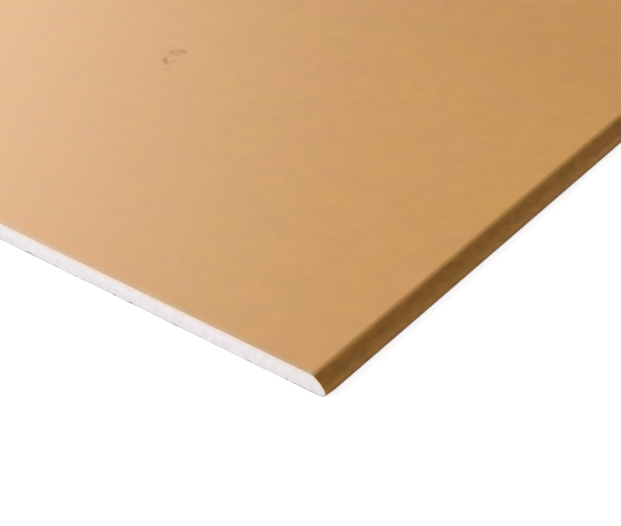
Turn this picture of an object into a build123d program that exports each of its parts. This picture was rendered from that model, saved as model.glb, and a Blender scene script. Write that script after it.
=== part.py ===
from build123d import *
from math import cos, radians
import os

# Drywall sheet: a gypsum core between a face paper and a back paper, lying on its back.
# Millimetres. The width runs along X, the length along Y, and the back lies on Z = 0.
# The origin is the middle of the back.

# The sheet as it is sold
sheet_width = 625.0
sheet_length = 2000.0
board_thickness = 12.5

# The papers
face_paper_thickness = 0.4
back_paper_thickness = 0.4
lap_width = 24.0  # how far the face paper reaches in under the back, from the sheet's side
back_margin = 6.0  # from the sheet's side to the edge of the back paper

# The half-round long edge: four arcs, each tangent to the next, from the face down to the back
knee_radius = 5.0  # rolls off the flat face
knee_turn = 26.0  # degrees
flank_bend = 24.0  # degrees turned by the long flat arc below the knee
nose_radius = 7.0  # brings the flank round to upright
heel_radius = 1.6  # tight fold under the back

# The flank's radius is what fills the height that the other three arcs leave
flank_turn = knee_turn + flank_bend
nose_turn = 90.0 - flank_turn
edge_height = board_thickness - back_paper_thickness
knee_drop = knee_radius * (1 - cos(radians(knee_turn)))
nose_drop = nose_radius * cos(radians(flank_turn))
flank_drop = edge_height - knee_drop - nose_drop - heel_radius
flank_radius = flank_drop / (cos(radians(knee_turn)) - cos(radians(flank_turn)))

half_width = sheet_width / 2
lap_edge = half_width - lap_width


def wrapped_edge(inset):
    """The right-hand long edge from the face to the back, drawn `inset` inside the face paper's outer side."""
    path = JernArc((0, board_thickness - inset), (1, 0), knee_radius - inset, -knee_turn)
    path += JernArc(path @ 1, path % 1, flank_radius - inset, -flank_bend)
    path += JernArc(path @ 1, path % 1, nose_radius - inset, -nose_turn)
    widest = (path @ 1).X + inset
    path += JernArc(path @ 1, path % 1, heel_radius - inset, -90)
    return Pos(half_width - widest, 0) * path


def run_length(path):
    """The sheet's section has one half drawn: mirror it, fill it and extrude it over the whole length."""
    section = make_face(path + mirror(path, Plane.YZ))
    return extrude(Plane.XZ * section, sheet_length / 2, both=True)


def gypsum_core():
    """Plaster that fills the wrap, stepped up over the laps and flush with them between."""
    edge = wrapped_edge(face_paper_thickness)
    lap_top = back_paper_thickness + face_paper_thickness
    face = Line((0, board_thickness - face_paper_thickness), edge @ 0)
    back = Polyline(edge @ 1, (lap_edge, lap_top), (lap_edge, back_paper_thickness), (0, back_paper_thickness))
    return run_length(face + edge + back)


def face_paper():
    """One paper over the face, round both long edges and in under the back as two laps."""
    outside = wrapped_edge(0)
    inside = wrapped_edge(face_paper_thickness)
    lap = Polyline(
        outside @ 1,
        (lap_edge, back_paper_thickness),
        (lap_edge, back_paper_thickness + face_paper_thickness),
        inside @ 1,
    )
    face = Line((0, board_thickness), outside @ 0)
    face += Line((0, board_thickness - face_paper_thickness), inside @ 0)
    return run_length(face + outside + lap + inside)


def back_paper():
    """A flat paper over the back, glued on the core and on both laps."""
    edge = half_width - back_margin
    return run_length(Polyline((0, 0), (edge, 0), (edge, back_paper_thickness), (0, back_paper_thickness)))


os.makedirs("parts", exist_ok=True)
export_step(gypsum_core(), "parts/gypsum_core.step")
export_step(face_paper(), "parts/face_paper.step")
export_step(back_paper(), "parts/back_paper.step")

print("flank radius", round(flank_radius, 2))
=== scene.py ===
import math

import bmesh
import bpy
import numpy as np
from mathutils import Matrix, Vector


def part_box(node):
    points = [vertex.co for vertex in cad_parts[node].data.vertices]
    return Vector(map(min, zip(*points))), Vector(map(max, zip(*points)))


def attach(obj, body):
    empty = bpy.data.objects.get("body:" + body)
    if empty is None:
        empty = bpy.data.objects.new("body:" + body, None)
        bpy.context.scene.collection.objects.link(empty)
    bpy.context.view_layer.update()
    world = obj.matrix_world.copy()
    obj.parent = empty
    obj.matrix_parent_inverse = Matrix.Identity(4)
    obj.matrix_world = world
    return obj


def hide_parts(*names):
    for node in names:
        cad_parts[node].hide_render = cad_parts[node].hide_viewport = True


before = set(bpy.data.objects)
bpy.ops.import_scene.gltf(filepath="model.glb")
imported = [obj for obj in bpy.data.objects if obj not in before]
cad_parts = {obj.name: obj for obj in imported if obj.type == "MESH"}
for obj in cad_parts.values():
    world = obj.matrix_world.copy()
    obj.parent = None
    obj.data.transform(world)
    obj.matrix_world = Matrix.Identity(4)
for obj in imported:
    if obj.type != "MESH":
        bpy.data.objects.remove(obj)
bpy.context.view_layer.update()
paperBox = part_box("face_paper")
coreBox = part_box("gypsum_core")
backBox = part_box("back_paper")

# What the frame gives, in metres: half sizes, and how thick the two papers are
mm = 0.001
halfWidth = paperBox[1].x
halfLength = paperBox[1].y
boardTop = paperBox[1].z
coreTop = coreBox[1].z
backEdge = backBox[1].x
faceThickness = boardTop - coreTop
backThickness = backBox[1].z
print("stage: frame loaded,", len(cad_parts), "nodes")


# Node trees, for shaders and for geometry alike

seedStep = (0.37, 0.73, 0.51)  # how far one seed's part of a pattern lies from the next one's
eitherSide = (-1 * mm, 1 * mm)  # for a step from 0 to 1 at the sheet's middle line


class Wire:  # a socket that adds, multiplies and divides like a number
    def __init__(self, tree, socket=None):
        self.tree = tree
        self.socket = socket

    def node(self, kind, settings, inputs, output=0):
        made = self.tree.nodes.new(kind)
        for name, value in settings.items():
            setattr(made, name, value)
        for name, value in inputs.items():
            if isinstance(value, Wire):
                self.tree.links.new(value.socket, made.inputs[name])
            else:
                made.inputs[name].default_value = value
        return Wire(self.tree, made.outputs[output])

    def math(self, operation, *values):
        return self.node("ShaderNodeMath", {"operation": operation}, dict(enumerate(values)))

    def vector(self, operation, *values, output=0):
        return self.node("ShaderNodeVectorMath", {"operation": operation}, dict(enumerate(values)), output)

    def __add__(self, other):
        return self.math("ADD", self, other)

    def __radd__(self, other):
        return self.math("ADD", other, self)

    def __sub__(self, other):
        return self.math("SUBTRACT", self, other)

    def __rsub__(self, other):
        return self.math("SUBTRACT", other, self)

    def __mul__(self, other):
        return self.math("MULTIPLY", self, other)

    def __rmul__(self, other):
        return self.math("MULTIPLY", other, self)

    def __truediv__(self, other):
        return self.math("DIVIDE", self, other)

    def __rtruediv__(self, other):
        return self.math("DIVIDE", other, self)

    def __neg__(self):
        return self.math("MULTIPLY", self, -1.0)

    def __abs__(self):
        return self.math("ABSOLUTE", self)

    def rise(self, low, high):  # 0 at low, 1 at high, smooth between and flat beyond
        inputs = {"Value": self, "From Min": low, "From Max": high}
        return self.node("ShaderNodeMapRange", {"interpolation_type": "SMOOTHSTEP"}, inputs)

    # The rest is for positions and colours

    def axis(self, name):
        return self.node("ShaderNodeSeparateXYZ", {}, {0: self}, name)

    def stretch(self, x, y, z):
        return self.vector("MULTIPLY", self, (x, y, z))

    def turn(self, degrees):  # about Z
        inputs = {"Vector": self, "Angle": math.radians(degrees)}
        return self.node("ShaderNodeVectorRotate", {"rotation_type": "Z_AXIS"}, inputs)

    def scaled(self, amount):
        return self.node("ShaderNodeVectorMath", {"operation": "SCALE"}, {0: self, "Scale": amount})

    def elsewhere(self, seed):  # another part of the same endless pattern
        away = {0: seedStep, "Scale": seed}
        return self.vector("ADD", self, self.node("ShaderNodeVectorMath", {"operation": "SCALE"}, away))

    def noise(self, size, detail, seed, output=0):  # size is that of one blob, in metres
        inputs = {"Vector": self.elsewhere(seed), "Scale": 1 / size, "Detail": detail}
        return self.node("ShaderNodeTexNoise", {}, inputs, output)

    def patches(self, size, spread, detail, seed):
        # noise drawn out to run from 0 to 1 over so much to each side of its middle value
        return self.noise(size, detail, seed).rise(0.5 - spread, 0.5 + spread)

    def cells(self, size, seed):
        # scattered middles about size apart: how far off the nearest is, and a number of its own
        inputs = {"Vector": self.elsewhere(seed), "Scale": 1 / size}
        distance = self.node("ShaderNodeTexVoronoi", {}, inputs)
        return distance, Wire(self.tree, distance.socket.node.outputs["Color"]).axis("X")

    def mix(self, low, high, blend="MIX"):
        # self is the factor, in socket 0; the two colours go into 6 and 7, and the mixed one comes out of 2
        settings = {"data_type": "RGBA", "blend_type": blend}
        return self.node("ShaderNodeMix", settings, {0: self, 6: low, 7: high}, output=2)


screenCurve = {"straightTo": 0.04045, "slope": 12.92, "lift": 0.055, "power": 2.4}  # that of sRGB


def screenColour(*levels):
    # red, green and blue from 0 to 255 as on a screen, turned into the linear colour that Blender mixes
    linear = []
    for share in (level / 255 for level in levels):
        if share < screenCurve["straightTo"]:
            linear.append(share / screenCurve["slope"])
        else:
            lifted = (share + screenCurve["lift"]) / (1 + screenCurve["lift"])
            linear.append(lifted ** screenCurve["power"])
    return (*linear, 1.0)


def newFinish(name, paint, constants):
    # paint takes the Object coordinates and gives base colour, roughness and relief in metres
    material = bpy.data.materials.new(name)
    material.use_nodes = True
    shader = material.node_tree.nodes["Principled BSDF"]
    place = Wire(material.node_tree).node("ShaderNodeTexCoord", {}, {}, "Object")
    baseColour, roughness, relief = paint(place)
    bump = place.node("ShaderNodeBump", {}, {"Height": relief, "Distance": 1.0})
    for socket, wire in (("Base Color", baseColour), ("Roughness", roughness), ("Normal", bump)):
        material.node_tree.links.new(wire.socket, shader.inputs[socket])
    for socket, value in constants.items():
        shader.inputs[socket].default_value = value
    return material


def newTree(name, sizes):
    # a geometry tree that takes a mesh, one named number for each size, and a material
    tree = bpy.data.node_groups.new(name, "GeometryNodeTree")
    tree.interface.new_socket("Geometry", in_out="OUTPUT", socket_type="NodeSocketGeometry")
    tree.interface.new_socket("Geometry", in_out="INPUT", socket_type="NodeSocketGeometry")
    for size, value in sizes.items():
        kind = "NodeSocketInt" if isinstance(value, int) else "NodeSocketFloat"
        tree.interface.new_socket(size, in_out="INPUT", socket_type=kind)
    tree.interface.new_socket("Material", in_out="INPUT", socket_type="NodeSocketMaterial")
    source = tree.nodes.new("NodeGroupInput")
    return tree, {socket.name: Wire(tree, socket) for socket in source.outputs if socket.name}


def endTree(geometry, material):
    tree = geometry.tree
    real = geometry.node("GeometryNodeRealizeInstances", {}, {"Geometry": geometry})
    coated = geometry.node("GeometryNodeSetMaterial", {}, {"Geometry": real, "Material": material})
    tree.links.new(coated.socket, tree.nodes.new("NodeGroupOutput").inputs["Geometry"])
    return tree


def addTree(piece, tree, sizes, material):
    values = {**sizes, "Material": material}
    modifier = piece.modifiers.new(tree.name, "NODES")
    modifier.node_group = tree
    for item in tree.interface.items_tree:
        if item.in_out == "INPUT" and item.name in values:
            modifier[item.identifier] = values[item.name]


def newPiece(name, vertices, edges, faces):
    mesh = bpy.data.meshes.new(name)
    mesh.from_pydata(vertices, edges, faces)
    piece = bpy.data.objects.new(name, mesh)
    bpy.context.scene.collection.objects.link(piece)
    return piece


def makePlain(piece, sharpFrom):
    # what the modifiers make becomes the piece's own mesh
    bpy.context.view_layer.update()
    graph = bpy.context.evaluated_depsgraph_get()
    mesh = bpy.data.meshes.new_from_object(piece.evaluated_get(graph))
    piece.modifiers.clear()
    piece.data = mesh
    mesh.shade_smooth()
    mesh.set_sharp_from_angle(angle=math.radians(sharpFrom))
    print("stage:", piece.name, "has", len(mesh.polygons), "faces")


# Brown face liner

faceLook = {
    "brown": screenColour(197, 143, 74),
    "yellow": screenColour(197, 144, 71),
    "ruddy": screenColour(198, 142, 78),
    "blushSize": 24 * mm,  # the tints come and go at this scale
    "yellowTo": (0.3, 0.5),  # the noise over which yellow turns into brown
    "ruddyFrom": (0.45, 0.7),  # and brown into ruddy
    "toneAndShadeSize": 450 * mm,
    "toneAndShade": 0.1,  # how much lighter one part of the sheet is than another, as a share; its seed is picked so that it also paints shade, darker towards the far part of the right-hand edge
    "cloudSize": 12 * mm,
    "cloud": 0.06,  # these are shares of the colour too, down to the flecks
    "streakWidth": 5 * mm,
    "streakStretch": 0.02,  # width by length
    "streak": 0.02,
    "grainSize": 0.5 * mm,
    "grain": 0.05,
    "fibreLength": 2.2 * mm,
    "fibreWidth": 0.2 * mm,
    "fibre": 0.16,
    "fleckSpacing": 5 * mm,
    "fleckSize": 0.8 * mm,
    "fleck": 0.1,  # some are lighter than the paper, and some darker
    "kneeTintAndShade": (0.7, 0.58, 0.31, 1.0),  # the folded edge's deeper brown, partly the paper's own and partly painted shade, darkest just past the knee
    "noseTintAndShade": (0.92, 0.83, 0.57, 1.0),
    "leftTint": (0.72, 0.69, 0.8, 1.0),  # the left-hand edge's tint is lighter and nearer the face's colour, without the right-hand edge's painted shade
    "leftCrease": 0.4,  # and has this share of the other's unevenness
    "noseHeight": 5.5 * mm,  # up to here it has the nose's tint
    "kneeHeight": 11 * mm,  # and from here on the knee's
    "wrapStart": 1.5 * mm,  # how far round the knee that tint begins
    "wrapWidth": 1.9 * mm,  # and how gradually
    "creaseSize": 3.5 * mm,
    "creaseStretch": 0.35,
    "crease": 0.26,  # unevenness of the folded part, as a share of its colour
    "creaseHeight": 0.02 * mm,
    "heelShade": 0.4,  # painted shade in the fold at the foot of the edge
    "heelHeight": 5 * mm,
    "cut": screenColour(236, 207, 180),  # plaster dust on the cut edge
    "lapCut": screenColour(205, 203, 202),  # and on that of the lap under the back
    "lapHeight": (0.8 * mm, 2 * mm),  # heights over which the lap's dust turns into the other
    "cutDust": 0.85,
    "dustPatchSize": 1.5 * mm,  # the dust is patchy
    "dustPatch": (0.2, 0.5),  # the noise where there is none, and where it is full
    "footWidth": (0.8 * mm, 3 * mm),  # the corners' feet are dusty up to the first, and not past the second
    "footHeight": (2 * mm, 4 * mm),
    "worn": screenColour(176, 168, 156),  # the face is dull and dusty along its cuts
    "wornShare": 0.5,
    "wornWidth": 5 * mm,
    "wornPatchSize": 5 * mm,
    "wornPatch": (0.15, 0.6),
    "fibreHeight": 0.006 * mm,
    "grainHeight": 0.012 * mm,
    "cloudHeight": 0.003 * mm,
    "roughness": 0.46,
    "cloudRoughness": 0.015,  # what each of these adds to it
    "grainRoughness": 0.08,
    "wrapRoughness": 0.1,
    "cutRoughness": 0.2,
}

# Faint marks on the face: place and half sizes in mm, turn in degrees, how dark, and how hollow (0 is a blot)
scuffs = (
    (27.1, -778.6, 7.6, 5.4, 48, 0.09, 0.62),
    (27.1, -778.6, 7.0, 4.4, 48, 0.14, 0.0),
    (23.5, -781.6, 3.4, 2.6, 48, 0.13, 0.0),
    (29.8, -775.1, 3.8, 3.0, 48, 0.2, 0.0),
    (26.6, -791.9, 5.0, 2.5, -38, 0.34, 0.0),
    (30.4, -794.2, 4.6, 2.6, -20, 0.26, 0.0),
    (32.2, -790.3, 5.4, 2.4, 88, 0.14, 0.0),
    (25.4, -786.8, 4.6, 2.2, 80, 0.12, 0.0),
    (24.6, -794.4, 3.4, 2.6, 50, 0.08, 0.0),
    (36.2, -801.2, 3.8, 2.6, 0, 0.11, 0.0),
)
scuffLook = {
    "tint": (1.0, 0.95, 0.85, 1.0),
    "tinted": 2.0,  # how much faster than the dark the tint comes
    "roughness": 0.6,  # what a full mark would add
    "wander": 2.4 * mm,  # how far the marks' outlines stray
    "wanderSize": 2.5 * mm,
    "rubSize": 1.6 * mm,  # the marks are rubbed thin in spots
    "rub": (0.25, 0.6),  # the noise where they are thinnest, and where they are whole
    "thinnest": 0.5,
    "reach": 1 * mm,  # no lower than this under the face
}

# Paper fibres: most lie near the way the paper ran through its machine, and some across it
fibreLay = {
    "angles": (14, -22, 68),  # degrees from the sheet's length
    "lengths": (1.0, 1.0, 0.7),  # of each kind, as a share of the paper's fibre length
    "fade": (0.12, 0.42),  # distance from a fibre's middle at which it begins and ends to fade, as a share
}


def fibres(place, degrees, length, width, seed):
    # lighter and darker straight fibres, between -1 and 1, lying at one angle to the sheet's length
    distance, shade = place.turn(degrees).stretch(1 / width, 1 / length, 1 / width).cells(1.0, seed)
    return (1 - distance.rise(*fibreLay["fade"])) * (shade * 2 - 1)


def fibreMat(place, length, width):
    mat = 0.0
    for seed, degrees, share in zip((1.0, 2.0, 3.0), fibreLay["angles"], fibreLay["lengths"]):
        mat = mat + fibres(place, degrees, length * share, width, seed)
    return mat


def flecks(place, spacing, size, seed, core=0.3):
    # small soft spots, each as far above or below 0 as its own number says, and full over its core
    distance, shade = place.cells(spacing, seed)
    return (1 - distance.rise(core * size / spacing, size / spacing)) * (shade * 2 - 1)


def scuffed(place):
    look = scuffLook
    dark = 0.0
    rub = place.noise(look["rubSize"], detail=2.0, seed=7.0).rise(*look["rub"])
    rub = rub * (1 - look["thinnest"]) + look["thinnest"]
    stray = place.noise(look["wanderSize"], detail=1.0, seed=8.0, output=1)
    stray = place.vector("SUBTRACT", stray, (0.5, 0.5, 0.5))
    strayed = place.vector("ADD", place, stray.scaled(look["wander"]))
    for x, y, halfLong, halfWide, degrees, depth, hollow in scuffs:
        offset = place.vector("SUBTRACT", strayed, (x * mm, y * mm, 0)).turn(-degrees)
        reach = offset.stretch(1 / (halfLong * mm), 1 / (halfWide * mm), 0)
        reach = reach.vector("LENGTH", reach, output="Value")
        line = 1 - abs(reach - hollow) / (1 - hollow)
        dark = dark + line.rise(0.0, 1.0) * depth
    return dark * rub * place.axis("Z").rise(boardTop - look["reach"], boardTop - look["reach"] / 2)


def nearCut(place, near, far):
    # 1 at the sheet's two ends, 0 from a little way in
    return 1 - (halfLength - abs(place.axis("Y"))).rise(near, far)


cutLook = {
    "facing": (0.5, 0.8),  # from hardly to squarely facing along the sheet
    "frayed": (0.06 * mm, 0.16 * mm),  # so near the very end lie the fibres
}


def cutEdge(place):
    # the thickness that the blade laid bare, and the fibres that it pulled out
    facing = place.node("ShaderNodeNewGeometry", {}, {}, "Normal")
    blade = abs(facing.axis("Y")).rise(*cutLook["facing"])
    return blade.math("MAXIMUM", blade, nearCut(place, *cutLook["frayed"]))


def paintFaceLiner(place):
    look = faceLook
    height = place.axis("Z")
    # slow random tone, and painted shade where its picked seed darkens the sheet
    toneAndShade = place.patches(look["toneAndShadeSize"], spread=0.2, detail=0.0, seed=154.0) - 0.5
    cloud = place.patches(look["cloudSize"], spread=0.25, detail=2.0, seed=1.0) - 0.5
    streaky = place.stretch(1, look["streakStretch"], 1)
    streak = streaky.patches(look["streakWidth"], spread=0.3, detail=2.0, seed=2.0) - 0.5
    grain = place.noise(look["grainSize"], detail=2.0, seed=3.0) - 0.5
    mat = fibreMat(place, look["fibreLength"], look["fibreWidth"])
    fleck = flecks(place, look["fleckSpacing"], look["fleckSize"], seed=4.0)
    wrapFrom = kneeStart + look["wrapStart"]
    wrapped = abs(place.axis("X")).rise(wrapFrom, wrapFrom + look["wrapWidth"])
    dusty = place.noise(look["dustPatchSize"], detail=2.0, seed=6.0).rise(*look["dustPatch"])
    foot = nearCut(place, *look["footWidth"]) * (1 - height.rise(*look["footHeight"]))
    cut = foot.math("MAXIMUM", foot, cutEdge(place))
    rubbed = place.noise(look["wornPatchSize"], detail=3.0, seed=9.0).rise(*look["wornPatch"])
    worn = nearCut(place, 0.0, look["wornWidth"]) * rubbed
    mark = scuffed(place)

    blush = place.noise(look["blushSize"], detail=1.0, seed=5.0)
    tint = blush.rise(*look["yellowTo"]).mix(look["yellow"], look["brown"])
    tint = blush.rise(*look["ruddyFrom"]).mix(tint, look["ruddy"])
    creased = place.stretch(1, look["creaseStretch"], 1)
    crease = creased.patches(look["creaseSize"], spread=0.2, detail=4.0, seed=10.0) - 0.5
    # painted shade: the wrapped edge is darker towards its foot
    heel = 1 - height.rise(backThickness, look["heelHeight"])
    right = place.axis("X").rise(*eitherSide)
    # the right-hand edge's tints are partly painted shade: darkest just past the knee, lighter towards the
    # foot; the left-hand edge gets a lighter tint
    foldTintAndShade = height.rise(look["noseHeight"], look["kneeHeight"]).mix(look["noseTintAndShade"], look["kneeTintAndShade"])
    foldTintAndShade = right.mix(look["leftTint"], foldTintAndShade)
    tint = wrapped.mix(tint, foldTintAndShade, "MULTIPLY")
    tint = (worn * (1 - wrapped) * look["wornShare"]).mix(tint, look["worn"])
    tint = (mark * scuffLook["tinted"]).mix(tint, scuffLook["tint"], "MULTIPLY")
    light = 1 + look["toneAndShade"] * toneAndShade + look["cloud"] * cloud + look["streak"] * streak
    light = light + look["grain"] * grain + look["fibre"] * mat + look["fleck"] * fleck
    uneven = crease * look["crease"] * (look["leftCrease"] + (1 - look["leftCrease"]) * right)
    light = light + wrapped * (uneven - look["heelShade"] * heel)
    dust = height.rise(*look["lapHeight"]).mix(look["lapCut"], look["cut"])
    tint = (cut * look["cutDust"] * dusty).mix(tint.scaled(light * (1 - mark)), dust)

    roughness = look["roughness"] + look["cloudRoughness"] * cloud + look["grainRoughness"] * grain
    roughness = roughness + look["wrapRoughness"] * wrapped + look["cutRoughness"] * cut
    roughness = roughness + scuffLook["roughness"] * mark
    relief = look["fibreHeight"] * mat + look["grainHeight"] * grain + look["cloudHeight"] * cloud
    relief = relief + look["creaseHeight"] * crease * wrapped
    return tint, roughness, relief


# Grey-brown back liner, made from mixed waste paper

backLook = {
    "brown": screenColour(170, 145, 113),
    "grey": screenColour(165, 146, 119),
    "tintSize": 18 * mm,
    "cloudSize": 6 * mm,
    "cloud": 0.1,
    "grainSize": 0.6 * mm,
    "grain": 0.08,
    "fibreLength": 2.6 * mm,
    "fibreWidth": 0.24 * mm,
    "fibre": 0.22,
    "fleckSpacing": 5 * mm,
    "fleckSize": 0.5 * mm,
    "fleck": 0.4,
    "cut": screenColour(238, 235, 231),
    "cutDust": 0.85,
    "dustPatchSize": 1.5 * mm,
    "dustPatch": (0.2, 0.5),
    "fibreHeight": 0.01 * mm,
    "grainHeight": 0.02 * mm,
    "cloudHeight": 0.03 * mm,
    "roughness": 0.75,
    "cloudRoughness": 0.1,
    "grainRoughness": 0.1,
}


def paintBackLiner(place):
    look = backLook
    cloud = place.patches(look["cloudSize"], spread=0.25, detail=3.0, seed=11.0) - 0.5
    grain = place.noise(look["grainSize"], detail=2.0, seed=12.0) - 0.5
    mat = fibreMat(place, look["fibreLength"], look["fibreWidth"])
    fleck = flecks(place, look["fleckSpacing"], look["fleckSize"], seed=13.0)
    dusty = place.noise(look["dustPatchSize"], detail=2.0, seed=15.0).rise(*look["dustPatch"])

    tinted = place.patches(look["tintSize"], spread=0.2, detail=1.0, seed=14.0)
    tint = tinted.mix(look["brown"], look["grey"])
    light = 1 + look["cloud"] * cloud + look["grain"] * grain + look["fibre"] * mat + look["fleck"] * fleck
    tint = (cutEdge(place) * look["cutDust"] * dusty).mix(tint.scaled(light), look["cut"])
    roughness = look["roughness"] + look["cloudRoughness"] * cloud + look["grainRoughness"] * grain
    relief = look["fibreHeight"] * mat + look["grainHeight"] * grain + look["cloudHeight"] * cloud
    return tint, roughness, relief


# Set plaster, bare on the two cut ends

plasterLook = {
    "white": screenColour(238, 234, 236),
    "grey": screenColour(229, 225, 228),
    "warm": screenColour(238, 220, 205),  # where the paper's colour has soaked in
    "warmDepth": 4.4 * mm,
    "dust": screenColour(223, 220, 221),  # along the lower edge: partly dust, partly painted shade where the floor is near
    "dustHeight": 1.5 * mm,
    "dustShare": 0.6,
    "soakSize": 2 * mm,  # the edges of the warm and of the dusty part wander at this scale
    "soakStray": 1.2 * mm,
    "dustStray": 1.5 * mm,
    "mottleSize": 5 * mm,
    "grainSize": 0.35 * mm,
    "grain": 0.09,
    "dragWidth": 0.7 * mm,
    "dragStretch": 0.08,  # width by length
    "drag": 0.04,
    "poreSpacing": 1.3 * mm,
    "poreSize": 0.32 * mm,
    "bubbleSpacing": 0.4 * mm,
    "bubbleSize": 0.1 * mm,
    "poreShade": 0.25,
    "bubbleShade": 0.125,
    "poreHeight": 0.1 * mm,
    "bubbleHeight": 0.03 * mm,
    "grainHeight": 0.08 * mm,
    "dragHeight": 0.05 * mm,
    "roughness": 0.9,
    "grainRoughness": 0.08,
}


def pores(place, spacing, size, seed, least=0.3, bottom=0.4):
    # round hollows of all widths from the least share of size up to size, with a flat bottom of so much
    distance, share = place.cells(spacing, seed)
    return 1 - (distance / ((least + (1 - least) * share) * size / spacing)).rise(bottom, 1.0)


def paintPlaster(place):
    look = plasterLook
    depth = place.node("ShaderNodeAttribute", {"attribute_name": "depth"}, {}, "Fac")
    mottle = place.patches(look["mottleSize"], spread=0.2, detail=3.0, seed=21.0)
    grain = place.noise(look["grainSize"], detail=3.0, seed=22.0)
    drag = place.stretch(1, 1, look["dragStretch"]).noise(look["dragWidth"], detail=2.0, seed=23.0)
    pore = pores(place, look["poreSpacing"], look["poreSize"], seed=24.0)
    bubble = pores(place, look["bubbleSpacing"], look["bubbleSize"], seed=26.0)
    soak = place.noise(look["soakSize"], detail=2.0, seed=25.0) - 0.5
    warmth = 1 - (depth + look["soakStray"] * soak).rise(0.0, look["warmDepth"])
    height = place.axis("Z") + look["dustStray"] * soak
    # greyer towards the lower edge: partly dust, partly painted shade near the floor
    dust = 1 - height.rise(backThickness, look["dustHeight"])

    tint = mottle.mix(look["grey"], look["white"])
    tint = (look["dustShare"] * dust).mix(tint, look["dust"])
    tint = warmth.mix(tint, look["warm"])
    light = 1 + look["grain"] * (grain - 0.5) + look["drag"] * (drag - 0.5)
    light = light - look["poreShade"] * pore - look["bubbleShade"] * bubble
    roughness = look["roughness"] + look["grainRoughness"] * (grain - 0.5)
    relief = look["grainHeight"] * grain + look["dragHeight"] * drag
    relief = relief - look["poreHeight"] * pore - look["bubbleHeight"] * bubble
    return tint.scaled(light), roughness, relief


# The half-round long edge: four arcs that run into each other, and the papers that follow them

wrap = {
    "kneeRadius": 5 * mm,
    "kneeTurn": 26,  # degrees from the flat face, where the knee ends
    "flankTurn": 50,  # and the flank
    "noseRadius": 7 * mm,
    "heelRadius": 1.6 * mm,
    "lapWidth": 24 * mm,
    "arcStep": 0.6 * mm,  # between stations on the arcs
    "fewestSteps": 4,  # on one arc
    "lapStations": 10,
    "faceStep": 1.5 * mm,  # between stations on the flat face
}
lapEdge = halfWidth - wrap["lapWidth"]


def edgePath(inset, step):
    # points (x, z) of the right-hand edge, from the flat face round to the start of the lap
    knee, flank = math.radians(wrap["kneeTurn"]), math.radians(wrap["flankTurn"])
    kneeRadius, noseRadius, heelRadius = wrap["kneeRadius"], wrap["noseRadius"], wrap["heelRadius"]
    drop = boardTop - backThickness - heelRadius
    drop -= kneeRadius * (1 - math.cos(knee)) + noseRadius * math.cos(flank)
    flankRadius = drop / (math.cos(knee) - math.cos(flank))
    noseCentre = Vector((halfWidth - noseRadius, backThickness + heelRadius))
    flankCentre = noseCentre + (noseRadius - flankRadius) * Vector((math.sin(flank), math.cos(flank)))
    kneeCentre = flankCentre + (flankRadius - kneeRadius) * Vector((math.sin(knee), math.cos(knee)))
    heelCentre = Vector((halfWidth - heelRadius, backThickness + heelRadius))
    arcs = (
        (kneeCentre, kneeRadius, 0, knee),
        (flankCentre, flankRadius, knee, flank),
        (noseCentre, noseRadius, flank, math.pi / 2),
        (heelCentre, heelRadius, math.pi / 2, math.pi),
    )
    points = []
    for centre, radius, begin, end in arcs:
        count = max(wrap["fewestSteps"], round(radius * (end - begin) / step))
        for angle in np.linspace(begin, end, count + 1)[1 if points else 0:]:
            points.append(centre + (radius - inset) * Vector((math.sin(angle), math.cos(angle))))
    return [(point.x, point.y) for point in points]


kneeStart = edgePath(0, wrap["arcStep"])[0][0]


def facePaperSection(inset):
    # from one lap's edge over the face to the other's, so far inside the paper's outer side
    edge = edgePath(inset, wrap["arcStep"])
    lap = [(x, backThickness + inset) for x in np.linspace(edge[-1][0], lapEdge, wrap["lapStations"])[1:]]
    right = edge + lap
    face = [(x, boardTop - inset) for x in np.arange(-kneeStart, kneeStart, wrap["faceStep"])[1:]]
    return [(-x, z) for x, z in reversed(right)] + face + right


# The foot of each corner has been knocked, two corners more than the others
knock = {
    "up": 0.6 * mm,
    "in": 0.45 * mm,
    "knockLength": 9 * mm,  # how far from the cut it reaches
    "knockWidth": 5 * mm,  # and from the sheet's side
    "knockFull": 1 * mm,  # up to this height it is full
    "knockHeight": 6 * mm,  # and above this one there is none
    "lesser": 0.4,  # share of the knock on the two better corners
}


def knockedFoot(place, given):
    # how far each point near a corner's foot is moved
    x, y, z = (place.axis(name) for name in "XYZ")
    near = 1 - (halfLength - abs(y)).rise(0.0, given["knockLength"])
    side = 1 - (halfWidth - abs(x)).rise(0.0, given["knockWidth"])
    foot = 1 - z.rise(given["knockFull"], given["knockHeight"])
    better = (x * y).rise(*eitherSide)  # two corners that lie diagonally across
    share = near * side * foot * (1 - better * (1 - given["lesser"]))
    moved = {"X": -(share * given["in"] * x.math("SIGN", x)), "Z": share * given["up"]}
    return place.node("ShaderNodeCombineXYZ", {}, moved)


sweep = {
    "length": 2 * halfLength,
    "rows": 76,
    "crowding": 0.45,  # 0 for even rows, towards 0.5 for rows that crowd together near the ends
    "wave": 0.12 * mm,  # how far the wrapped edge wanders inwards
    "waveSize": 170 * mm,
    "waveFade": 60 * mm,  # how far from the ends it is full
    "waveLow": 2 * mm,  # below this height there is none
    "waveHigh": 5 * mm,  # and above this one it is full
    "ragged": 0.14 * mm,  # how far the cut strays inwards
    "raggedSize": 2.2 * mm,
    "raggedReach": 1 * mm,  # how far in from the cut the paper strays with it
    "seed": 1.0,
}
waveAcross = 0.05  # the waves hardly change over the edge's width
waveFacing = (0.1, 0.4)  # they come in where the paper turns this far sideways
raggedNoise = (0.35, 0.75)  # the noise where the cut is straight, and where it strays most


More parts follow.
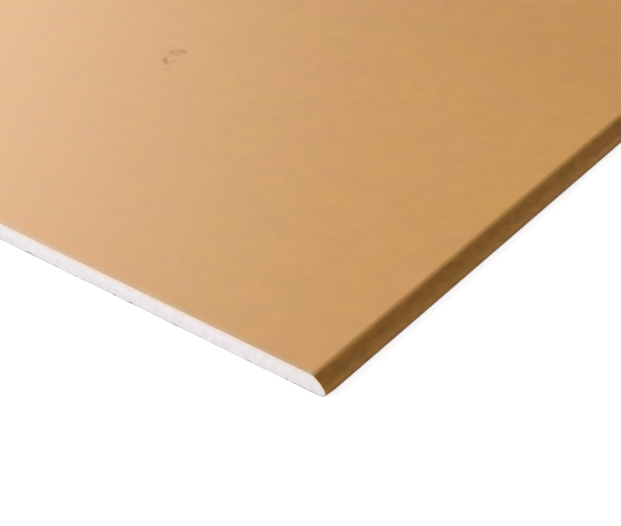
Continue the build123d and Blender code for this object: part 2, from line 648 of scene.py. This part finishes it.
def sweepTree():
    # A section, given as a chain of points in XZ, is drawn out along Y. Then come the waves of the edge,
    # the knocked feet and the ragged cuts
    tree, given = newTree("drawnSection", {**sweep, **knock})
    section, rows, length = given["Geometry"], given["rows"], given["length"]
    place = section.node("GeometryNodeInputPosition", {}, {})
    stations = section.node("GeometryNodeAttributeDomainSize", {"component": "MESH"}, {"Geometry": section})
    gridSizes = {"Size X": 1.0, "Size Y": length, "Vertices X": stations, "Vertices Y": rows}
    grid = section.node("GeometryNodeMeshGrid", {}, gridSizes)
    station = section.math("FLOOR", section.node("GeometryNodeInputIndex", {}, {}) / rows)
    sample = {"data_type": "FLOAT_VECTOR", "domain": "POINT"}
    sampled = {"Geometry": section, "Value": place, "Index": station}
    spot = section.node("GeometryNodeSampleIndex", sample, sampled)
    span = place.axis("Y") / (length / 2)
    crowded = place.axis("Y") * (1 + given["crowding"] * (1 - span * span))
    drawn = {"X": spot.axis("X"), "Y": crowded, "Z": spot.axis("Z")}
    drawn = section.node("ShaderNodeCombineXYZ", {}, drawn)
    shaped = section.node("GeometryNodeSetPosition", {}, {"Geometry": grid, "Position": drawn})

    along, height = place.axis("Y"), place.axis("Z")
    outward = section.node("GeometryNodeInputNormal", {}, {})
    toEnd = length / 2 - abs(along)
    wander = place.stretch(waveAcross, 1, 1).noise(given["waveSize"], detail=1.0, seed=given["seed"])
    onFlank = abs(outward.axis("X")).rise(*waveFacing) * height.rise(given["waveLow"], given["waveHigh"])
    inwards = wander * given["wave"] * onFlank * toEnd.rise(0.0, given["waveFade"])
    waved = {"Geometry": shaped, "Offset": outward.scaled(-inwards)}
    shaped = section.node("GeometryNodeSetPosition", {}, waved)
    knocked = {"Geometry": shaped, "Offset": knockedFoot(place, given)}
    shaped = section.node("GeometryNodeSetPosition", {}, knocked)

    stray = place.noise(given["raggedSize"], detail=3.0, seed=given["seed"]).rise(*raggedNoise)
    stray = stray * given["ragged"] * along.math("SIGN", along)
    stray = -(stray * (1 - toEnd.rise(0.0, given["raggedReach"])))
    cut = section.node("ShaderNodeCombineXYZ", {}, {"Y": stray})
    shaped = section.node("GeometryNodeSetPosition", {}, {"Geometry": shaped, "Offset": cut})
    return endTree(shaped, given["Material"])


drawnSection = sweepTree()


def sweptPiece(name, section, material, thickness, **changes):
    vertices = [(x, 0, z) for x, z in section]
    edges = [(i, i + 1) for i in range(len(section) - 1)]
    piece = newPiece(name, vertices, edges, [])
    addTree(piece, drawnSection, {**sweep, **knock, **changes}, material)
    wall = piece.modifiers.new("thickness", "SOLIDIFY")
    wall.thickness = thickness
    wall.offset = -1
    wall.use_even_offset = True
    makePlain(piece, sharpFrom=40)
    return piece


faceLinerFinish = newFinish("brownLiner", paintFaceLiner, {"Specular IOR Level": 0.23})
facePaper = sweptPiece("wrapped_face_paper", facePaperSection(0), faceLinerFinish, faceThickness)
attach(facePaper, "root")
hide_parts("face_paper")

backLinerFinish = newFinish("greyLiner", paintBackLiner, {"Specular IOR Level": 0.3})
backSection = [(x, 0) for x in np.arange(backEdge, -backEdge, -wrap["faceStep"])] + [(-backEdge, 0)]
backChanges = {"ragged": 0.25 * mm, "raggedSize": 3.5 * mm, "seed": 5.0}
backPaper = sweptPiece("back_liner", backSection, backLinerFinish, backThickness, **backChanges)
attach(backPaper, "root")
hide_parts("back_paper")


# The plaster core: fine grids on both cut ends, joined by long faces under the papers

plasterGrid = {
    "step": 0.42 * mm,
    "rows": 28,
    "shoulder": 30 * mm,  # from here on the long faces run straight to the other end
    "lapRamp": 0.01 * mm,  # width of the step beside the lap
    "edgeStep": 0.1 * mm,  # between the points that the outline is measured at
    "merged": 0.001 * mm,  # the columns at the long edges end in one point
}
cutRelief = {
    "recess": 0.05 * mm,  # the least depth of the plaster behind the papers' cuts
    "swell": 0.1 * mm,
    "swellSize": 13 * mm,
    "drag": 0.05 * mm,  # furrows that the blade left, up and down
    "dragSize": 1.3 * mm,
    "pore": 0.3 * mm,
    "poreSpacing": 4.2 * mm,
    "poreLeast": 0.2 * mm,  # radius of the smallest
    "poreSize": 0.6 * mm,  # and how much more the largest have
    "chip": 0.6 * mm,  # crumbled spots along the lower edge
    "chipSize": 6 * mm,
    "chipHeight": 1.5 * mm,
    "chipEdgeSize": 2.5 * mm,  # their upper edge wanders at this scale
    "seed": 3.0,
}
furrowStretch = 0.12  # width by length
poreBowl = (0.3, 1.0)  # flat up to the first share of its radius
chipNoise = (0.52, 0.72)  # the noise where crumbling begins, and where it is deepest


def plasterColumns():
    # (x, lowest z, highest z, slope of the top) of the grid's columns, from the middle to the right
    edge = edgePath(faceThickness, plasterGrid["edgeStep"])
    widest = max(range(len(edge)), key=lambda i: edge[i][0])
    topX, topZ = np.array([(0.0, coreTop)] + edge[:widest + 1]).T
    lapTop = backThickness + faceThickness
    rampEnd = lapEdge + plasterGrid["lapRamp"]
    low = [(0.0, backThickness), (lapEdge, backThickness), (rampEnd, lapTop)]
    lowX, lowZ = np.array(low + edge[widest:][::-1]).T
    along = np.concatenate([[0.0], np.cumsum(np.hypot(np.diff(topX), np.diff(topZ)))])
    stations = np.linspace(0, along[-1], round(along[-1] / plasterGrid["step"]) + 1)
    stations = np.sort(np.append(stations, (lapEdge, rampEnd)))
    x = np.interp(stations, along, topX)
    high = np.interp(stations, along, topZ)
    slope = np.abs(np.gradient(high, stations))
    return list(zip(x, np.interp(x, lowX, lowZ), high, slope))


def plasterBlock():
    right = plasterColumns()
    columns = [(-x, low, high, slope) for x, low, high, slope in reversed(right[1:])] + right
    rows = plasterGrid["rows"]
    vertices, faces, depths = [], [], []
    for end in (-1, 1):
        for x, low, high, slope in columns:
            for z in np.linspace(low, high, rows):
                vertices.append((x, end * halfLength, z))
                depths.append((high - z) * math.sqrt(max(0.0, 1 - slope ** 2)))
    far = len(columns) * rows
    for end in (-1, 1):
        for x, low, high, slope in columns:
            vertices += [(x, end * (halfLength - plasterGrid["shoulder"]), z) for z in (low, high)]
            depths += [0.0, 0.0]
    for i in range(len(columns) - 1):
        here, there = i * rows, (i + 1) * rows
        for j in range(rows - 1):
            corners = (here + j, there + j, there + j + 1, here + j + 1)
            faces.append(corners)
            faces.append(tuple(far + corner for corner in reversed(corners)))
        for level, j in enumerate((0, rows - 1)):
            nearRing = 2 * (far + i) + level
            farRing = nearRing + 2 * len(columns)
            edges = ((here + j, there + j), (nearRing, nearRing + 2))
            edges += ((farRing, farRing + 2), (far + here + j, far + there + j))
            for (a, b), (c, d) in zip(edges, edges[1:]):
                faces.append((b, d, c, a) if level else (a, c, d, b))
    piece = newPiece("plaster_core", vertices, [], faces)
    piece.data.attributes.new("depth", "FLOAT", "POINT").data.foreach_set("value", depths)
    shape = bmesh.new()
    shape.from_mesh(piece.data)
    bmesh.ops.remove_doubles(shape, verts=shape.verts, dist=plasterGrid["merged"])
    bmesh.ops.recalc_face_normals(shape, faces=shape.faces)
    shape.to_mesh(piece.data)
    shape.free()
    return piece


def cutReliefTree():
    # Only inwards: the plaster never stands out past the papers' cuts
    tree, given = newTree("cutPlaster", {**cutRelief, **knock})
    block, seed = given["Geometry"], given["seed"]
    place = block.node("GeometryNodeInputPosition", {}, {})
    end = place.axis("Y").math("SIGN", place.axis("Y"))
    height = place.axis("Z")

    swell = place.noise(given["swellSize"], detail=2.0, seed=seed)
    drag = place.stretch(1, 1, furrowStretch).noise(given["dragSize"], detail=2.0, seed=seed + 1)
    distance, share = place.cells(given["poreSpacing"], seed + 2)
    reach = distance * given["poreSpacing"]
    pore = 1 - (reach / (share * given["poreSize"] + given["poreLeast"])).rise(*poreBowl)
    crumble = place.noise(given["chipSize"], detail=3.0, seed=seed + 3).rise(*chipNoise)
    edgeHeight = given["chipHeight"] * (0.5 + place.noise(given["chipEdgeSize"], detail=2.0, seed=seed + 4))
    chip = crumble * (1 - (height - backThickness).rise(0.0, edgeHeight))
    depth = given["recess"] + given["swell"] * swell + given["drag"] * drag
    depth = depth + given["pore"] * pore + given["chip"] * chip
    inwards = block.node("ShaderNodeCombineXYZ", {}, {"Y": -(depth * end)})
    moved = inwards.vector("ADD", inwards, knockedFoot(place, given))
    shaped = block.node("GeometryNodeSetPosition", {}, {"Geometry": block, "Offset": moved})
    return endTree(shaped, given["Material"])


plasterFinish = newFinish("setPlaster", paintPlaster, {"Specular IOR Level": 0.3})
plaster = plasterBlock()
addTree(plaster, cutReliefTree(), {**cutRelief, **knock}, plasterFinish)
makePlain(plaster, sharpFrom=60)
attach(plaster, "root")
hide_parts("gypsum_core")


# Short fibres that the blade pulled out of the papers' cut edges

fray = {
    "spacing": 0.55 * mm,
    "jitter": 0.5 * mm,
    "kept": 0.75,  # share of the places that have a fibre
    "fibreLength": 0.8 * mm,
    "shortest": 0.3,  # shares of that length
    "longest": 1.3,
    "fibreRadius": 0.022 * mm,
    "lean": 0.9,  # how far a fibre leans along the edge, as a tangent
    "bend": 0.35 * mm,
    "leastBend": 0.2,  # shares of that bend
    "mostBend": 1.4,
    "steps": 5,  # along a fibre
    "sides": 3,
    "seed": 7,
}
fibreHandles = (0.4, 0.6)  # shares of its length, for the two handles of its curve
fibreInset = 1.3  # how many radii inside the cut a fibre lies
chainDepth = 0.7  # how deep in the paper's thickness the fibres start, as a share
backStations = 60


def frayTree():
    # Chains in XZ are given, one for each cut: every fibre starts on a chain and lies across the plaster
    tree, given = newTree("frayedCut", {**fray, **knock})
    chains, seed, length = given["Geometry"], given["seed"], given["fibreLength"]
    curves = chains.node("GeometryNodeMeshToCurve", {}, {"Mesh": chains})
    spread = {"Curve": curves, "Length": given["spacing"]}
    spaced = chains.node("GeometryNodeCurveToPoints", {"mode": "LENGTH"}, spread)
    tangent = Wire(tree, spaced.socket.node.outputs["Tangent"])

    def random(low, high, shift):  # sockets 2, 3 and 8 are the lowest, the highest and the seed
        inputs = {2: low, 3: high, 8: seed + shift}
        return chains.node("FunctionNodeRandomValue", {"data_type": "FLOAT"}, inputs, output=1)

    draw = random(0.0, 1.0, 0)
    dropped = {"Geometry": spaced, "Selection": draw.math("GREATER_THAN", draw, given["kept"])}
    points = chains.node("GeometryNodeDeleteGeometry", {"domain": "POINT"}, dropped)
    slide = tangent.scaled(random(-given["jitter"], given["jitter"], 1))
    slide = slide.vector("ADD", slide, knockedFoot(chains.node("GeometryNodeInputPosition", {}, {}), given))
    points = chains.node("GeometryNodeSetPosition", {}, {"Geometry": points, "Offset": slide})

    inwards = tangent.vector("CROSS_PRODUCT", (0, 1, 0), tangent)
    leaning = tangent.vector("ADD", inwards, tangent.scaled(random(-given["lean"], given["lean"], 2)))
    upright = chains.node("FunctionNodeAlignRotationToVector", {"axis": "Z"}, {"Vector": leaning})
    mirrored = random(-1.0, 1.0, 3)
    sideways = chains.node("ShaderNodeCombineXYZ", {}, {"Y": mirrored.math("SIGN", mirrored)})
    aim = {"Rotation": upright, "Vector": sideways}
    turned = chains.node("FunctionNodeAlignRotationToVector", {"axis": "Y", "pivot_axis": "Z"}, aim)
    size = {"X": random(given["leastBend"], given["mostBend"], 4), "Y": 1.0}
    size["Z"] = random(given["shortest"], given["longest"], 5)
    size = chains.node("ShaderNodeCombineXYZ", {}, size)

    curve = {"Start": (0, 0, 0), "Resolution": given["steps"]}
    for name, bend, share in (
        ("Start Handle", 0.0, fibreHandles[0]),
        ("End Handle", given["bend"], fibreHandles[1]),
        ("End", given["bend"], 1.0),
    ):
        curve[name] = chains.node("ShaderNodeCombineXYZ", {}, {"X": bend, "Z": length * share})
    line = chains.node("GeometryNodeCurvePrimitiveBezierSegment", {}, curve)
    around = {"Resolution": given["sides"], "Radius": given["fibreRadius"]}
    ring = chains.node("GeometryNodeCurvePrimitiveCircle", {}, around)
    tube = {"Curve": line, "Profile Curve": ring, "Fill Caps": True}
    fibre = chains.node("GeometryNodeCurveToMesh", {}, tube)
    placed = {"Points": points, "Instance": fibre, "Rotation": turned, "Scale": size}
    return endTree(chains.node("GeometryNodeInstanceOnPoints", {}, placed), given["Material"])


frayedCut = frayTree()


def frayedPiece(name, section, material, slot, **changes):
    # one chain before each end's plaster, a fibre's thickness inside the cut
    sizes = {**fray, **knock, **changes}
    away = halfLength - fibreInset * sizes["fibreRadius"]
    vertices = [(x, end * away, z) for end in (-1, 1) for x, z in section]
    count = len(section)
    edges = [(i, i + 1) for i in range(2 * count - 1) if i != count - 1]
    piece = newPiece(name, vertices, edges, [])
    addTree(piece, frayedCut, sizes, material)
    makePlain(piece, sharpFrom=80)
    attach(piece, "root")


faceChain = facePaperSection(chainDepth * faceThickness)
frayedPiece("face_paper_fray", faceChain, faceLinerFinish, "face_paper")
backChain = [(x, chainDepth * backThickness) for x in np.linspace(backEdge, -backEdge, backStations)]
backFray = {"spacing": 0.7 * mm, "fibreLength": 0.6 * mm, "seed": 19}
frayedPiece("back_liner_fray", backChain, backLinerFinish, "back_paper", **backFray)


# Floor, background and lamps

studio = {
    "floorSize": 40.0,
    "floorDrop": 0.2 * mm,
    "floorShade": 0.8,
    "floorGlow": 0.75,  # seen, but lights nothing, so that the background is white and the shadow faint
    "ambient": 0.305,  # the world's light, where the white that is seen is 1
    "ceiling": (0.2, 0.5),  # white walls end and the dark ceiling begins, as the sine of the height
    "aim": Vector((0.1, -0.7, 0.0)),  # the lamps face this spot
}
# Azimuth from +X towards +Y and height in degrees, distance and width in metres, watts
lamps = {
    "keyLamp": (148, 36, 6.0, 2.8, 336),
    "frontLamp": (240, 14, 9.0, 4.8, 545),
}


def grey(level):
    return (level, level, level, 1.0)


def seenRays(tree, walls=1.0):
    # 1 for what the camera sees itself, and as much as walls says for what is seen mirrored or through glass
    camera, glossy, through = (Wire(tree).node("ShaderNodeLightPath", {}, {}, "Is %s Ray" % kind)
                               for kind in ("Camera", "Glossy", "Transmission"))
    return camera.math("MAXIMUM", camera, glossy.math("MAXIMUM", glossy, through) * walls)


def paleFloor():
    material = bpy.data.materials.new("paleFloor")
    material.use_nodes = True
    shader = material.node_tree.nodes["Principled BSDF"]
    shader.inputs["Base Color"].default_value = grey(studio["floorShade"])
    shader.inputs["Roughness"].default_value = 1.0
    shader.inputs["Specular IOR Level"].default_value = 0.0
    shader.inputs["Emission Strength"].default_value = 1.0
    glow = seenRays(material.node_tree).mix(grey(0.0), grey(studio["floorGlow"]))
    material.node_tree.links.new(glow.socket, shader.inputs["Emission Color"])
    return material


side = studio["floorSize"] / 2
corners = [(-side, -side), (side, -side), (side, side), (-side, side)]
floor = newPiece("floor", [(x, y, -studio["floorDrop"]) for x, y in corners], [], [(0, 1, 2, 3)])
floor.data.materials.append(paleFloor())

world = bpy.data.worlds.new("studio")
bpy.context.scene.world = world
world.use_nodes = True
background = world.node_tree.nodes["Background"]
direction = Wire(world.node_tree).node("ShaderNodeTexCoord", {}, {}, "Generated")
walls = 1 - direction.axis("Z").rise(*studio["ceiling"])
strength = studio["ambient"] + seenRays(world.node_tree, walls) * (1 - studio["ambient"])
world.node_tree.links.new(strength.socket, background.inputs["Strength"])
background.inputs["Color"].default_value = (1, 1, 1, 1)


def softLamp(name, azimuth, elevation, distance, width, power):
    swing, rise = math.radians(azimuth), math.radians(elevation)
    away = Vector((math.cos(rise) * math.cos(swing), math.cos(rise) * math.sin(swing), math.sin(rise)))
    lamp = bpy.data.lights.new(name, "AREA")
    lamp.shape = "DISK"
    lamp.size = width
    lamp.energy = power
    holder = bpy.data.objects.new(name, lamp)
    holder.location = studio["aim"] + distance * away
    holder.rotation_euler = away.to_track_quat("Z", "Y").to_euler()
    bpy.context.scene.collection.objects.link(holder)


for name, settings in lamps.items():
    softLamp(name, *settings)

cameraStand = {
    "fromCorner": (0.48998, -0.70659, 0.72171),  # metres from the near corner's foot to the lens
    "heading": 35.432,  # degrees, turned left from +Y
    "tilt": 36.219,  # degrees below level
    "roll": 1.643,
    "lens": 119.07,
    "sensor": 36.0,
    "clipStart": 0.01,
}

shot = bpy.data.cameras.new("camera")
shot.lens = cameraStand["lens"]
shot.sensor_width = cameraStand["sensor"]
shot.clip_start = cameraStand["clipStart"]
tripod = bpy.data.objects.new("camera", shot)
bpy.context.scene.collection.objects.link(tripod)
swung = Matrix.Rotation(math.radians(cameraStand["heading"]), 4, "Z")
swung @= Matrix.Rotation(math.radians(90 - cameraStand["tilt"]), 4, "X")
swung @= Matrix.Rotation(math.radians(cameraStand["roll"]), 4, "Z")
nearCorner = Vector((halfWidth, -halfLength, 0))
tripod.matrix_world = Matrix.Translation(nearCorner + Vector(cameraStand["fromCorner"])) @ swung
bpy.context.scene.camera = tripod
bpy.context.scene.view_settings.view_transform = "Standard"
print("stage: floor,", len(lamps), "lamps and the camera")

print("stage: done")
